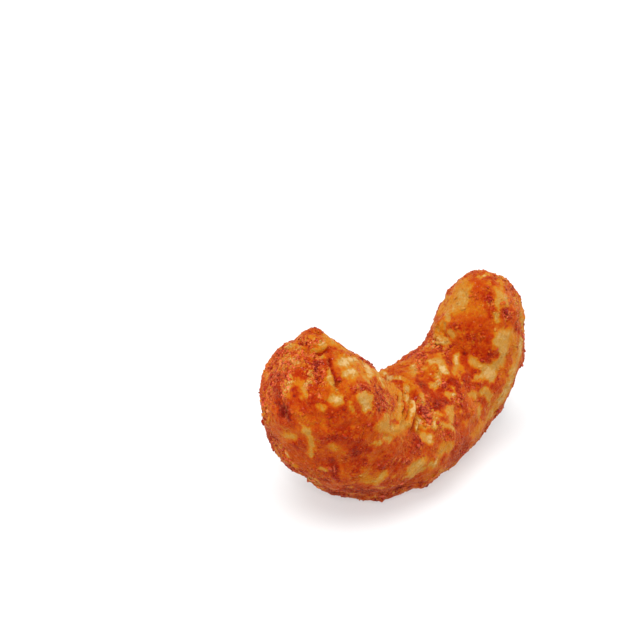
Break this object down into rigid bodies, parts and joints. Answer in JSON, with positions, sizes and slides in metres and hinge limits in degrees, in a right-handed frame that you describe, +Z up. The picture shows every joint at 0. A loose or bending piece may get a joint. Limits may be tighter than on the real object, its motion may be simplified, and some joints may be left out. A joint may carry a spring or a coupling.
{
  "type": "spiced cashew nut",
  "caption": "Whole fried cashew kernel with an orange-red spice crust, a thick curl that stands on its back.",
  "frame": {"origin": "middle of the nut's footprint box, on the surface that it stands on", "axes": "+X from the blunt end to the slim end, +Y across the curl, +Z up"},
  "size_m": [0.03, 0.0128, 0.0182],
  "materials": {
    "kernel": "fried nut flesh, pale straw to amber, stained orange and brick red by an oily granular spice crust",
    "spice": "coarse ground chilli and paprika grains stuck on with oil"
  },
  "bodies": {
    "root": {"kernel": "kernel"}
  },
  "joints": []
}
